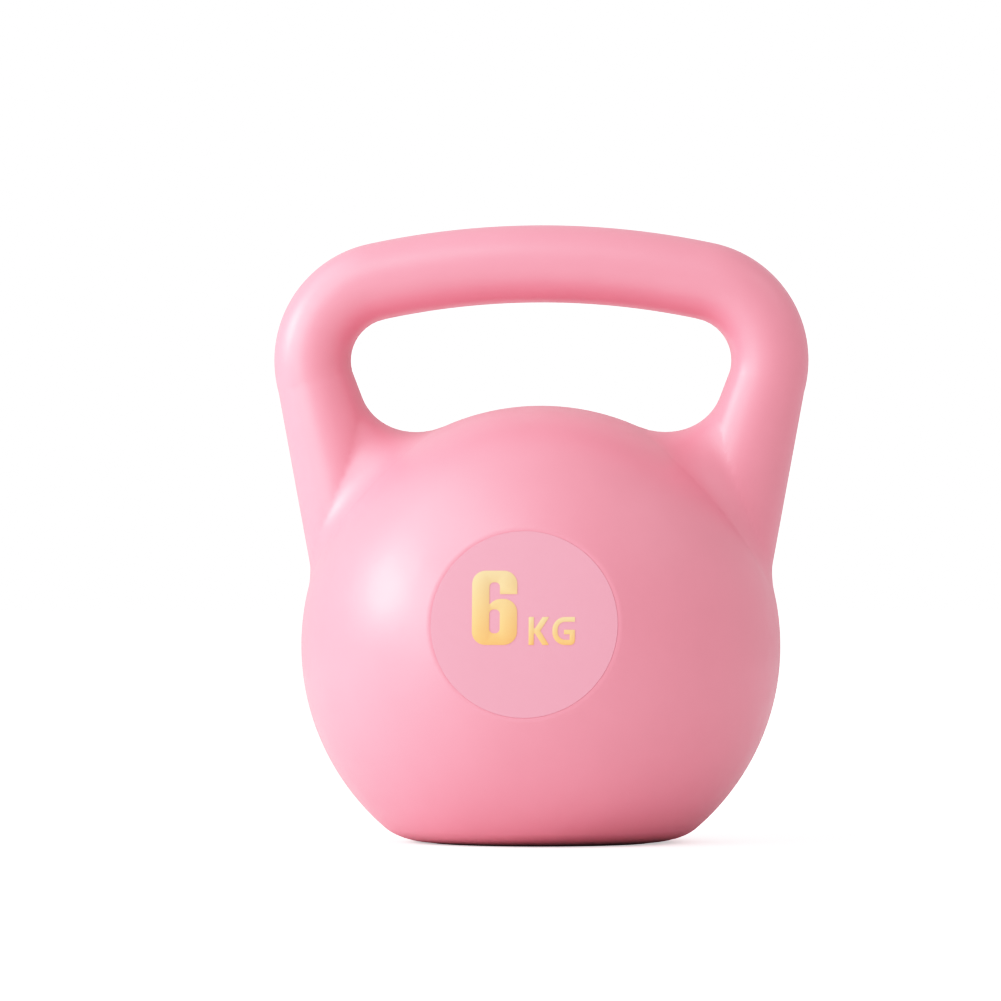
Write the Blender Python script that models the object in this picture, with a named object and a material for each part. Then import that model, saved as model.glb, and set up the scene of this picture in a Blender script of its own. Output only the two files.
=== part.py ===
"""Six-kilogram kettlebell: a blow-moulded shell, filled round a steel tube that stiffens the handle.

Units are metres and +Z is up.  The origin is on the floor under the middle of the ball.  The
handle runs along X, and the face that carries the weight marking looks along -Y.
"""
import math

import bmesh
import bpy
import numpy as np
from mathutils import Matrix, Vector

GAP = 0.0003                            # clearance between pieces that touch
OVERSHOOT = 0.02                        # how far a cutter runs past what it cuts
FAR = 0.22                              # half the width of a cutter that spans the whole object

# Outer form: a ball with a flat foot, and a handle loop that melts into its shoulders
BALL_RADIUS = 0.1074
BALL_Z = 0.0881
FOOT_Z = 0.0004                         # the shell's flat foot, just above the pad's underside
FOOT_ROUNDING = 0.0058
HANDLE_RADIUS = 0.0172
BAR_TOP_Z = 0.2592                      # highest point of the handle's centreline
BAR_ARC_RADIUS = 0.355                  # the grip bar is slightly arched
CORNER_X = 0.0666                       # centre of the bend between the bar and a leg
CORNER_RADIUS = 0.0362
LEG_LEAN = math.radians(15.7)           # the legs lean in towards the ball
LEG_TAPER = 0.093                       # growth of a leg's radius for each metre down it
LEG_LENGTH = 0.106
SHOULDER_FILLET = 0.0090                # fillet on the sides of a leg's root
SHOULDER_GROWTH = 1.18                  # how much fuller it is inside the hand window
SHOULDER_POWER = 1.80                   # below 2 flattens the fillet's section

# The bar's arch and the bends meet without a kink, which settles the rest of the centreline
BEND_REACH = BAR_ARC_RADIUS - CORNER_RADIUS
BAR_ARC_Z = BAR_TOP_Z - BAR_ARC_RADIUS
BAR_HALF_ANGLE = math.asin(CORNER_X / BEND_REACH)
CORNER_Z = BAR_ARC_Z + BEND_REACH * math.cos(BAR_HALF_ANGLE)

# Walls
WALL = 0.0030
FLOOR_WALL = 0.0060
LANDING_TILT = math.radians(6.3)        # the flat landings face slightly upwards
LANDING_DISTANCE = 0.0987               # from the ball's centre to the flat landing
BADGE_RADIUS = 0.0408
BADGE_THICKNESS = 0.0011
BADGE_BEVEL = 0.0002
POCKET_DEPTH = 0.0012
MARK_THICKNESS = 0.0004
BADGE_FACE = LANDING_DISTANCE - POCKET_DEPTH + GAP + BADGE_THICKNESS

# Surface meshes: a voxel mesh is snapped to the form, and then thinned out
BALL_SUBDIVISIONS = 4
VOXEL = 0.004
OUTER_RATIO = 0.085                     # share of the voxel mesh's triangles that is kept
INNER_RATIO = 0.070
SNAP_STEPS = 8
SNAP_LIMIT = 0.004                      # furthest that a point moves in one step
PROBE = 0.00005                         # step for the field's slope, and the least divisor
LEAST_STEEPNESS = 0.05                  # keeps a step finite where the field is flat
MERGE_DISTANCE = 1e-6

# Handle tube, its end caps and the bar that keys it into the fill
TUBE_RADIUS = 0.0110
TUBE_WALL = 0.0015
TUBE_END_Z = 0.0741
TUBE_BEVEL_RESOLUTION = 5               # 14 sides
BAR_STEPS = 4                           # straight runs along half of the bar, and along a bend
CORNER_STEPS = 7
CAP_FLANGE = 0.0020
CAP_SPIGOT = 0.0090
CAP_CHAMFER = 0.0008
ANCHOR_RADIUS = 0.0040
ANCHOR_Z = 0.0941
ANCHOR_HALF_LENGTH = 0.092

# Fill and its opening in the base
FILL_LEVEL_Z = 0.1771
FILL_SHRINKAGE = 0.0006                 # the fill pulls away from the wall as it sets
HOLE_RADIUS = 0.0180
COLLAR_RADIUS = 0.0220
COLLAR_TOP_Z = 0.0131
SEAT_RADIUS = 0.0243
SEAT_Z = 0.0037
PLUG_FACE_Z = 0.0008
PLUG_FLANGE = 0.0016
PLUG_TOP_Z = 0.0111
PLUG_WALL = 0.0032
PLUG_FLOOR_Z = 0.0046
PLUG_BARB = 0.0015
SLOT_SIZE = (0.026, 0.003, 0.0008)      # coin slot in the plug's face: length, width, depth
GASKET_WIDTH = 0.0048

# Anti-slip pad in the foot
PAD_INNER = 0.0280
PAD_OUTER = 0.0500
PAD_THICKNESS = 0.0018
PAD_CHAMFER = 0.0006
GROOVE_RADII = (0.0340, 0.0432)
GROOVE_WIDTH = 0.0016
GROOVE_DEPTH = 0.0008

ROUND_SEGMENTS = 48
SMALL_SEGMENTS = 32
CURVE_STEPS = 6                         # runs in a rounded corner of the marking
SHADE_ANGLE = math.radians(35)

# Weight marking, in the badge's own plane: the baseline and each left edge are measured from
# the badge's centre, and every height from the baseline
MARK_BASELINE = -0.0090
NUMERAL_LEFT = -0.0229
NUMERAL_WIDTH = 0.0198
NUMERAL_HEIGHT = 0.0326
NUMERAL_STEM = 0.0076
NUMERAL_ARCH = 0.0051                   # thickness of the 6 at its top and its foot
NUMERAL_BEND = 0.0059                   # radius of its outer corners
HOOK_END = 0.0223
BOWL_TOP = 0.0202
BOWL_ARCH = 0.0066                      # radius of the curve along the bowl's top
BOWL_JOIN = 0.0176                      # where the bowl's top meets the stem
SLOT_TOP = 0.0156
SLOT_BEND = 0.0020
UNIT_HEIGHT = 0.0123
UNIT_STROKE = 0.0023
K_LEFT = 0.0020
K_WIDTH = 0.0090
K_ARM = 0.0029                          # width of an arm at its end
K_CROTCH = 0.0028                       # from the stem to the notch between the arms
K_KNEE = 0.0005                         # length of the bridge from the stem to the arms
K_BRIDGE = 0.0011                       # half its height
G_LEFT = 0.0124
G_WIDTH = 0.0099
G_BEND = 0.0057
G_HEEL = 0.0020                         # radius of the lower right corner
G_BAR_LENGTH = 0.0048
G_BAR_TOP = 0.0067
G_BAR_THICKNESS = 0.0020
G_LIP = 0.0021                          # thickness of the top stroke's end

# Display colour, roughness and metallic value of each material
FINISHES = {
    "pink_shell": ((238, 172, 190), 0.32, 0.0),
    "fill_mortar": ((150, 147, 141), 0.90, 0.0),
    "tube_steel": ((168, 170, 173), 0.38, 1.0),
    "cap_plastic": ((58, 58, 60), 0.55, 0.0),
    "plug_plastic": ((231, 150, 172), 0.40, 0.0),
    "pad_rubber": ((70, 44, 50), 0.80, 0.0),
    "badge_film": ((240, 174, 191), 0.42, 0.0),
    "gold_foil": ((246, 208, 144), 0.35, 0.6),
}


# ---------------------------------------------------------------- small helpers

def clear_scene():
    for old in list(bpy.data.objects):
        bpy.data.objects.remove(old, do_unlink=True)


def linear_colour(red, green, blue):
    """Linear colour from display values of 0 to 255."""
    def channel(value):
        value /= 255.0
        return value / 12.92 if value <= 0.04045 else ((value + 0.055) / 1.055) ** 2.4
    return channel(red), channel(green), channel(blue), 1.0


def make_material(name):
    display_colour, roughness, metallic = FINISHES[name]
    made = bpy.data.materials.new(name)
    made.use_nodes = True
    made.diffuse_color = linear_colour(*display_colour)
    shader = made.node_tree.nodes["Principled BSDF"]
    shader.inputs["Base Color"].default_value = linear_colour(*display_colour)
    shader.inputs["Roughness"].default_value = roughness
    shader.inputs["Metallic"].default_value = metallic
    return made


def add_object(name, mesh, finish=None, matrix=None):
    obj = bpy.data.objects.new(name, mesh)
    bpy.context.scene.collection.objects.link(obj)
    if finish is not None:
        mesh.materials.clear()
        mesh.materials.append(finish)
    if matrix is not None:
        obj.matrix_world = matrix
    return obj


def add_guide(name, mesh, matrix=None):
    """A cutter or a guide: it shapes other objects and is no piece itself."""
    obj = add_object(name, mesh, matrix=matrix)
    obj.hide_render = True
    obj.display_type = "WIRE"
    return obj


def boolean(target, tool, operation="DIFFERENCE"):
    modifier = target.modifiers.new(operation.lower() + "_" + tool.name, "BOOLEAN")
    modifier.operation = operation
    modifier.solver = "EXACT"
    modifier.object = tool


def evaluated_mesh(obj):
    graph = bpy.context.evaluated_depsgraph_get()
    return bpy.data.meshes.new_from_object(obj.evaluated_get(graph))


def finish_bmesh(bm, name):
    bmesh.ops.recalc_face_normals(bm, faces=bm.faces)
    mesh = bpy.data.meshes.new(name)
    bm.to_mesh(mesh)
    bm.free()
    return mesh


def smooth(mesh):
    mesh.shade_smooth()
    mesh.set_sharp_from_angle(angle=SHADE_ANGLE)


def turned(name, profile, segments=ROUND_SEGMENTS):
    """Solid turned about Z from (radius, height) points, closed on itself or on the axis."""
    bm = bmesh.new()
    corners = [bm.verts.new((radius, 0.0, height)) for radius, height in profile]
    edges = [bm.edges.new(pair) for pair in zip(corners, corners[1:])]
    if profile[0][0] > 0.0:
        edges.append(bm.edges.new((corners[-1], corners[0])))
    bmesh.ops.spin(bm, geom=corners + edges, cent=(0, 0, 0), axis=(0, 0, 1),
                   angle=math.tau, steps=segments)
    bmesh.ops.remove_doubles(bm, verts=bm.verts, dist=MERGE_DISTANCE)
    mesh = finish_bmesh(bm, name)
    smooth(mesh)
    return mesh


def block(name, low, high):
    bm = bmesh.new()
    bmesh.ops.create_cube(bm, size=1.0)
    size = Vector(high) - Vector(low)
    centre = (Vector(high) + Vector(low)) / 2
    bmesh.ops.scale(bm, vec=size, verts=bm.verts)
    bmesh.ops.translate(bm, vec=centre, verts=bm.verts)
    return finish_bmesh(bm, name)


def rod(name, radius, low, high, segments=SMALL_SEGMENTS, chamfer=0.0):
    """Round bar along Z between two heights."""
    profile = [(0.0, low), (radius - chamfer, low), (radius, low + chamfer),
               (radius, high - chamfer), (radius - chamfer, high), (0.0, high)]
    if chamfer == 0.0:
        profile = [(0.0, low), (radius, low), (radius, high), (0.0, high)]
    return turned(name, profile, segments)


# ---------------------------------------------------------------- the moulded form as a field

def arc_offset(x, z, centre_x, centre_z, radius, start, end):
    """Offset of a point from the nearest point of an arc; angles run from +Z towards +X."""
    angle = np.clip(np.arctan2(x - centre_x, z - centre_z), start, end)
    return x - centre_x - radius * np.sin(angle), z - centre_z - radius * np.cos(angle)


def leg_top():
    """Where the bend ends and the straight leg begins, on the +X side."""
    return (CORNER_X + CORNER_RADIUS * math.cos(LEG_LEAN),
            CORNER_Z - CORNER_RADIUS * math.sin(LEG_LEAN))


def leg_offset(x, z):
    """Offset of a point from a leg's centreline, and how far down the leg it is."""
    top_x, top_z = leg_top()
    down_x, down_z = -math.sin(LEG_LEAN), -math.cos(LEG_LEAN)
    along = np.clip((x - top_x) * down_x + (z - top_z) * down_z, 0.0, LEG_LENGTH)
    return x - top_x - along * down_x, z - top_z - along * down_z, along


def form_field(points):
    """Signed distance, near enough, to the moulded outer form; negative is inside."""
    x, y, z = np.abs(points[:, 0]), points[:, 1], points[:, 2]
    ball = np.sqrt(x ** 2 + y ** 2 + (z - BALL_Z) ** 2) - BALL_RADIUS

    bar_x, bar_z = arc_offset(x, z, 0.0, BAR_ARC_Z, BAR_ARC_RADIUS, 0.0, BAR_HALF_ANGLE)
    corner_x, corner_z = arc_offset(x, z, CORNER_X, CORNER_Z, CORNER_RADIUS,
                                    BAR_HALF_ANGLE, math.pi / 2 + LEG_LEAN)
    leg_x, leg_z, along = leg_offset(x, z)
    leg_reach = np.sqrt(leg_x ** 2 + y ** 2 + leg_z ** 2)
    handle = np.minimum.reduce([
        np.sqrt(bar_x ** 2 + y ** 2 + bar_z ** 2) - HANDLE_RADIUS,
        np.sqrt(corner_x ** 2 + y ** 2 + corner_z ** 2) - HANDLE_RADIUS,
        leg_reach - HANDLE_RADIUS - LEG_TAPER * along])

    inward = (-leg_x * math.cos(LEG_LEAN) + leg_z * math.sin(LEG_LEAN)) / np.maximum(leg_reach, PROBE)
    fillet = SHOULDER_FILLET * np.exp(SHOULDER_GROWTH * inward)
    near_ball = np.maximum(fillet - ball, 0.0)
    near_handle = np.maximum(fillet - handle, 0.0)
    blend = (near_ball ** SHOULDER_POWER + near_handle ** SHOULDER_POWER) ** (1 / SHOULDER_POWER)
    body = np.maximum(fillet, np.minimum(ball, handle)) - blend

    foot = FOOT_Z - z
    corner = np.hypot(np.maximum(body + FOOT_ROUNDING, 0.0), np.maximum(foot + FOOT_ROUNDING, 0.0))
    return np.minimum(-FOOT_ROUNDING, np.maximum(body, foot)) + corner


def snap_to_form(points, level):
    """Move points onto the surface where the field has the given level."""
    for _ in range(SNAP_STEPS):
        value = form_field(points) - level
        slopes = [(form_field(points + step) - form_field(points - step)) / (2 * PROBE)
                  for step in np.eye(3) * PROBE]
        gradient = np.stack(slopes, axis=1)
        steepness = np.maximum((gradient ** 2).sum(axis=1), LEAST_STEEPNESS)
        move = gradient * (value / steepness)[:, None]
        reach = np.linalg.norm(move, axis=1)
        points = points - move * np.minimum(1.0, SNAP_LIMIT / np.maximum(reach, PROBE))[:, None]
    return points


def snap_mesh(mesh, level):
    points = np.empty(len(mesh.vertices) * 3)
    mesh.vertices.foreach_get("co", points)
    points = snap_to_form(points.reshape(-1, 3), level)
    mesh.vertices.foreach_set("co", points.ravel())
    mesh.update()


def handle_route(end_z):
    """Points along the handle's centreline, from the left leg's end to the right leg's."""
    right = []
    for step in range(BAR_STEPS + 1):
        angle = BAR_HALF_ANGLE * step / BAR_STEPS
        right.append((BAR_ARC_RADIUS * math.sin(angle), BAR_ARC_Z + BAR_ARC_RADIUS * math.cos(angle)))
    turn = math.pi / 2 + LEG_LEAN - BAR_HALF_ANGLE
    for step in range(1, CORNER_STEPS + 1):
        angle = BAR_HALF_ANGLE + turn * step / CORNER_STEPS
        right.append((CORNER_X + CORNER_RADIUS * math.sin(angle),
                      CORNER_Z + CORNER_RADIUS * math.cos(angle)))
    top_x, top_z = leg_top()
    right.append((top_x - (top_z - end_z) * math.tan(LEG_LEAN), end_z))
    left = [(-x, z) for x, z in reversed(right[1:])]
    return [Vector((x, 0.0, z)) for x, z in left + right]


def swept_rod(name, radius, end_z):
    """Solid round bar along the whole handle."""
    curve = bpy.data.curves.new(name, "CURVE")
    curve.dimensions = "3D"
    curve.bevel_depth = radius
    curve.bevel_resolution = TUBE_BEVEL_RESOLUTION
    curve.use_fill_caps = True
    route = handle_route(end_z)
    spline = curve.splines.new("POLY")
    spline.points.add(len(route) - 1)
    for point, place in zip(spline.points, route):
        point.co = (*place, 1.0)
    holder = bpy.data.objects.new(name, curve)
    bpy.context.scene.collection.objects.link(holder)
    mesh = evaluated_mesh(holder)
    bpy.data.objects.remove(holder, do_unlink=True)
    bm = bmesh.new()
    bm.from_mesh(mesh)
    bmesh.ops.remove_doubles(bm, verts=bm.verts, dist=MERGE_DISTANCE)
    mesh = finish_bmesh(bm, name)
    smooth(mesh)
    return mesh


def with_modifier(mesh, kind, **settings):
    """The mesh that a modifier makes of another mesh."""
    holder = add_object(kind.lower(), mesh)
    modifier = holder.modifiers.new(kind.lower(), kind)
    for setting, value in settings.items():
        setattr(modifier, setting, value)
    made = evaluated_mesh(holder)
    bpy.data.objects.remove(holder, do_unlink=True)
    return made


def moulded_surface(level, ratio):
    """The ball and the handle grown together, with every corner of the mesh on the form."""
    bm = bmesh.new()
    bmesh.ops.create_icosphere(bm, subdivisions=BALL_SUBDIVISIONS, radius=BALL_RADIUS,
                               matrix=Matrix.Translation((0, 0, BALL_Z)))
    bm.from_mesh(swept_rod("handle_seed", HANDLE_RADIUS, BALL_Z))
    fine = with_modifier(finish_bmesh(bm, "seed"), "REMESH", mode="VOXEL", voxel_size=VOXEL)
    snap_mesh(fine, level)
    return with_modifier(fine, "DECIMATE", ratio=ratio, use_collapse_triangulate=True)


def snapped_copy(surface, name, level):
    mesh = surface.copy()
    mesh.name = name
    snap_mesh(mesh, level)
    smooth(mesh)
    return mesh


# ---------------------------------------------------------------- shell and fill

def landing_frame(distance, side):
    """Frame of a flat landing: local +Z points out of the ball, local +Y up the face."""
    up = Vector((0.0, -side * math.sin(LANDING_TILT), math.cos(LANDING_TILT)))
    out = Vector((0.0, side * math.cos(LANDING_TILT), math.sin(LANDING_TILT)))
    across = up.cross(out)
    frame = Matrix((across, up, out)).transposed().to_4x4()
    frame.translation = Vector((0.0, 0.0, BALL_Z)) + out * distance
    return frame


def cut_landings(target, distance):
    """Slice the front and the back of the ball flat."""
    for side, word in ((-1, "front"), (1, "back")):
        slab = rod(f"{target.name}_{word}_landing", BALL_RADIUS, 0.0, OVERSHOOT, SMALL_SEGMENTS)
        boolean(target, add_guide(slab.name, slab, landing_frame(distance, side)))


def cut_below(target, height):
    floor = block(target.name + "_floor_cut", (-FAR, -FAR, -FAR), (FAR, FAR, height))
    boolean(target, add_guide(floor.name, floor))


def make_shell(inner_surface, finish):
    outside = snapped_copy(moulded_surface(0.0, OUTER_RATIO), "shell", 0.0)
    shell = add_object("shell", outside, finish)

    cavity = add_guide("cavity", snapped_copy(inner_surface, "cavity", -WALL))
    cut_below(cavity, FOOT_Z + FLOOR_WALL)
    cut_landings(cavity, LANDING_DISTANCE - POCKET_DEPTH - WALL)
    collar = add_guide("collar", rod("collar", COLLAR_RADIUS, -OVERSHOOT, COLLAR_TOP_Z, ROUND_SEGMENTS))
    boolean(cavity, collar)
    boolean(shell, cavity)

    cut_landings(shell, LANDING_DISTANCE)
    pocket = rod("badge_pocket", BADGE_RADIUS + GAP, -POCKET_DEPTH, OVERSHOOT, ROUND_SEGMENTS)
    boolean(shell, add_guide("badge_pocket", pocket, landing_frame(LANDING_DISTANCE, -1)))

    ring = turned("pad_recess", [(PAD_INNER - GAP, -OVERSHOOT), (PAD_OUTER + GAP, -OVERSHOOT),
                                 (PAD_OUTER + GAP, PAD_THICKNESS + GAP),
                                 (PAD_INNER - GAP, PAD_THICKNESS + GAP)])
    boolean(shell, add_guide("pad_recess", ring))
    opening = turned("fill_opening", [(0.0, -OVERSHOOT), (SEAT_RADIUS, -OVERSHOOT),
                                      (SEAT_RADIUS, SEAT_Z), (HOLE_RADIUS, SEAT_Z),
                                      (HOLE_RADIUS, COLLAR_TOP_Z + OVERSHOOT),
                                      (0.0, COLLAR_TOP_Z + OVERSHOOT)])
    boolean(shell, add_guide("fill_opening", opening))


def make_fill(inner_surface, finish):
    """Everything that sets inside the shell, with room round the tube, the bar and the collar."""
    inside = snapped_copy(inner_surface, "fill_core", -WALL - FILL_SHRINKAGE)
    fill = add_object("fill_core", inside, finish)
    cut_below(fill, FOOT_Z + FLOOR_WALL + GAP)
    cut_landings(fill, LANDING_DISTANCE - POCKET_DEPTH - WALL - FILL_SHRINKAGE)
    air = block("air_space", (-FAR, -FAR, FILL_LEVEL_Z), (FAR, FAR, FILL_LEVEL_Z + FAR))
    boolean(fill, add_guide("air_space", air))

    route_end = TUBE_END_Z - (CAP_FLANGE + 2 * GAP) * math.cos(LEG_LEAN)
    tube_space = add_guide("tube_space", swept_rod("tube_space", TUBE_RADIUS + GAP, route_end))
    boolean(fill, tube_space)
    half = ANCHOR_HALF_LENGTH + GAP
    bar_space = rod("anchor_space", ANCHOR_RADIUS + GAP, -half, half)
    boolean(fill, add_guide("anchor_space", bar_space, anchor_frame()))
    collar_space = rod("collar_space", COLLAR_RADIUS + GAP, -OVERSHOOT, COLLAR_TOP_Z + GAP)
    boolean(fill, add_guide("collar_space", collar_space))


# ---------------------------------------------------------------- handle stiffener

def anchor_frame():
    """Frame of the anchor bar: local +Z runs along the world's X axis."""
    return Matrix.Translation((0, 0, ANCHOR_Z)) @ Matrix.Rotation(math.pi / 2, 4, "Y")


def tube_end_frame(side):
    """Frame at a lower end of the handle tube: local +Z points up the leg."""
    top_x, top_z = leg_top()
    drop = (top_z - TUBE_END_Z) / math.cos(LEG_LEAN)
    up = Vector((side * math.sin(LEG_LEAN), 0.0, math.cos(LEG_LEAN)))
    end = Vector((side * top_x, 0.0, top_z)) - up * drop
    return Matrix.Translation(end) @ Matrix.Rotation(side * LEG_LEAN, 4, "Y")


def make_handle_tube(finish):
    tube = add_object("handle_tube", swept_rod("handle_tube", TUBE_RADIUS, TUBE_END_Z), finish)
    bore_end = TUBE_END_Z - OVERSHOOT
    bore = swept_rod("tube_bore", TUBE_RADIUS - TUBE_WALL, bore_end)
    boolean(tube, add_guide("tube_bore", bore))
    half = ANCHOR_HALF_LENGTH + OVERSHOOT
    hole = rod("anchor_hole", ANCHOR_RADIUS + GAP, -half, half)
    boolean(tube, add_guide("anchor_hole", hole, anchor_frame()))


def make_tube_caps(finish):
    """Caps that keep the fill out of the tube: a flange below the end and a spigot in the bore."""
    rim = TUBE_RADIUS - 2 * GAP
    spigot = TUBE_RADIUS - TUBE_WALL - 2 * GAP
    profile = [(0.0, -GAP - CAP_FLANGE), (rim - CAP_CHAMFER, -GAP - CAP_FLANGE),
               (rim, -GAP - CAP_FLANGE + CAP_CHAMFER), (rim, -GAP),
               (spigot, -GAP), (spigot, CAP_SPIGOT - CAP_CHAMFER),
               (spigot - CAP_CHAMFER, CAP_SPIGOT), (0.0, CAP_SPIGOT)]
    mesh = turned("tube_cap", profile, SMALL_SEGMENTS)
    for side, word in ((-1, "left"), (1, "right")):
        add_object("tube_cap_" + word, mesh, finish, tube_end_frame(side))


def make_anchor_bar(finish):
    bar = rod("anchor_bar", ANCHOR_RADIUS, -ANCHOR_HALF_LENGTH, ANCHOR_HALF_LENGTH,
              chamfer=CAP_CHAMFER)
    add_object("anchor_bar", bar, finish, anchor_frame())


# ---------------------------------------------------------------- base

def make_fill_plug(finish):
    """Press-in plug: a flange in its seat, and a hollow spigot with a barb round its end."""
    shank = HOLE_RADIUS - GAP
    hollow = shank - PLUG_WALL
    flange = SEAT_RADIUS - GAP
    profile = [(0.0, PLUG_FACE_Z), (flange - CAP_CHAMFER, PLUG_FACE_Z),
               (flange, PLUG_FACE_Z + CAP_CHAMFER), (flange, PLUG_FACE_Z + PLUG_FLANGE),
               (shank - CAP_CHAMFER, PLUG_FACE_Z + PLUG_FLANGE),
               (shank - CAP_CHAMFER, PLUG_TOP_Z - 2 * PLUG_BARB), (shank, PLUG_TOP_Z - PLUG_BARB),
               (shank - PLUG_BARB, PLUG_TOP_Z), (hollow, PLUG_TOP_Z), (hollow, PLUG_FLOOR_Z),
               (0.0, PLUG_FLOOR_Z)]
    plug = add_object("fill_plug", turned("fill_plug", profile), finish)
    length, width, depth = SLOT_SIZE
    slot = block("coin_slot", (-length / 2, -width / 2, -OVERSHOOT),
                 (length / 2, width / 2, PLUG_FACE_Z + depth))
    boolean(plug, add_guide("coin_slot", slot))


def make_plug_gasket(finish):
    low = PLUG_FACE_Z + PLUG_FLANGE + GAP
    high = SEAT_Z - GAP
    outer = SEAT_RADIUS - GAP
    inner = outer - GASKET_WIDTH
    gasket = turned("plug_gasket", [(inner, low), (outer, low), (outer, high), (inner, high)])
    add_object("plug_gasket", gasket, finish)


def make_base_pad(finish):
    """Rubber ring in the foot, with two tread grooves in its underside."""
    profile = [(PAD_INNER + PAD_CHAMFER, 0.0)]
    for radius in GROOVE_RADII:
        low, high = radius - GROOVE_WIDTH / 2, radius + GROOVE_WIDTH / 2
        profile += [(low, 0.0), (low, GROOVE_DEPTH), (high, GROOVE_DEPTH), (high, 0.0)]
    profile += [(PAD_OUTER - PAD_CHAMFER, 0.0), (PAD_OUTER, PAD_CHAMFER),
                (PAD_OUTER, PAD_THICKNESS), (PAD_INNER, PAD_THICKNESS), (PAD_INNER, PAD_CHAMFER)]
    add_object("base_pad", turned("base_pad", profile), finish)


# ---------------------------------------------------------------- badge and weight marking

def rounded_outline(corners):
    """Outline through (x, y, radius) corners, with each corner turned as an arc."""
    outline = []
    count = len(corners)
    for index, (x, y, radius) in enumerate(corners):
        corner = Vector((x, y))
        before = (Vector(corners[index - 1][:2]) - corner).normalized()
        after = (Vector(corners[(index + 1) % count][:2]) - corner).normalized()
        if radius == 0.0:
            outline.append(corner)
            continue
        half = before.angle(after) / 2
        centre = corner + (before + after).normalized() * (radius / math.sin(half))
        start = corner + before * (radius / math.tan(half)) - centre
        end = corner + after * (radius / math.tan(half)) - centre
        turn = start.angle_signed(end)
        for step in range(CURVE_STEPS + 1):
            outline.append(centre + Matrix.Rotation(-turn * step / CURVE_STEPS, 2) @ start)
    return outline


def raised_mark(name, outlines, finish):
    """Flat mark on the badge: a filled outline, less any inner outline, with a thickness."""
    bm = bmesh.new()
    edges = []
    for outline in outlines:
        corners = [bm.verts.new((point.x, point.y, 0.0)) for point in outline]
        edges += [bm.edges.new((corners[i - 1], corners[i])) for i in range(len(corners))]
    bmesh.ops.triangle_fill(bm, use_beauty=True, edges=edges)
    raised = bmesh.ops.extrude_face_region(bm, geom=list(bm.faces), use_keep_orig=True)
    moved = [item for item in raised["geom"] if isinstance(item, bmesh.types.BMVert)]
    bmesh.ops.translate(bm, vec=(0, 0, MARK_THICKNESS), verts=moved)
    add_object(name, finish_bmesh(bm, name), finish, landing_frame(BADGE_FACE + GAP, -1))


def make_badge(finish):
    low = -BADGE_THICKNESS
    profile = [(0.0, low), (BADGE_RADIUS, low), (BADGE_RADIUS, -BADGE_BEVEL),
               (BADGE_RADIUS - BADGE_BEVEL, 0.0), (0.0, 0.0)]
    badge = turned("weight_badge", profile)
    add_object("weight_badge", badge, finish, landing_frame(BADGE_FACE, -1))


def make_numeral(finish):
    left, right = NUMERAL_LEFT, NUMERAL_LEFT + NUMERAL_WIDTH
    low, high = MARK_BASELINE, MARK_BASELINE + NUMERAL_HEIGHT
    inner_left, inner_right = left + NUMERAL_STEM, right - NUMERAL_STEM
    inner_low, inner_high = low + NUMERAL_ARCH, high - NUMERAL_ARCH
    half_counter = (inner_right - inner_left) / 2
    hook, bowl, join, slot_top = low + HOOK_END, low + BOWL_TOP, low + BOWL_JOIN, low + SLOT_TOP
    outer = [(right, hook, 0.0), (right, high, NUMERAL_BEND), (left, high, NUMERAL_BEND),
             (left, low, NUMERAL_BEND), (right, low, NUMERAL_BEND), (right, bowl, NUMERAL_BEND),
             (inner_left + half_counter, bowl, BOWL_ARCH), (inner_left, join, 0.0),
             (inner_left, inner_high, SLOT_BEND), (inner_right, inner_high, SLOT_BEND),
             (inner_right, hook, 0.0)]
    slot = [(inner_left, inner_low, SLOT_BEND), (inner_right, inner_low, SLOT_BEND),
            (inner_right, slot_top, SLOT_BEND), (inner_left, slot_top, SLOT_BEND)]
    raised_mark("numeral_6", [rounded_outline(outer), rounded_outline(slot)], finish)


def make_letter_k(finish):
    left, right = K_LEFT, K_LEFT + K_WIDTH
    low, high = MARK_BASELINE, MARK_BASELINE + UNIT_HEIGHT
    stem = left + UNIT_STROKE
    middle = (low + high) / 2
    lower_half = [(left, low), (stem, low), (stem, middle - K_BRIDGE),
                  (stem + K_KNEE, middle - K_BRIDGE), (right - K_ARM, low), (right, low)]
    upper_half = [(x, low + high - y) for x, y in reversed(lower_half)]
    outline = lower_half + [(stem + K_CROTCH, middle)] + upper_half
    raised_mark("letter_k", [rounded_outline([(x, y, 0.0) for x, y in outline])], finish)


def make_letter_g(finish):
    left, right = G_LEFT, G_LEFT + G_WIDTH
    low, high = MARK_BASELINE, MARK_BASELINE + UNIT_HEIGHT
    inner_left, inner_right = left + UNIT_STROKE, right - UNIT_STROKE
    inner_low, lip = low + UNIT_STROKE, high - G_LIP
    inner_bend = G_BEND - UNIT_STROKE
    bar_left, bar_top = right - G_BAR_LENGTH, low + G_BAR_TOP
    bar_low = bar_top - G_BAR_THICKNESS
    outline = [(right, high, 0.0), (left, high, G_BEND), (left, low, G_BEND), (right, low, G_HEEL),
               (right, bar_top, 0.0), (bar_left, bar_top, 0.0), (bar_left, bar_low, 0.0),
               (inner_right, bar_low, 0.0), (inner_right, inner_low, 0.0),
               (inner_left, inner_low, inner_bend), (inner_left, lip, inner_bend),
               (right, lip, 0.0)]
    raised_mark("letter_g", [rounded_outline(outline)], finish)


# ---------------------------------------------------------------- assembly

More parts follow.
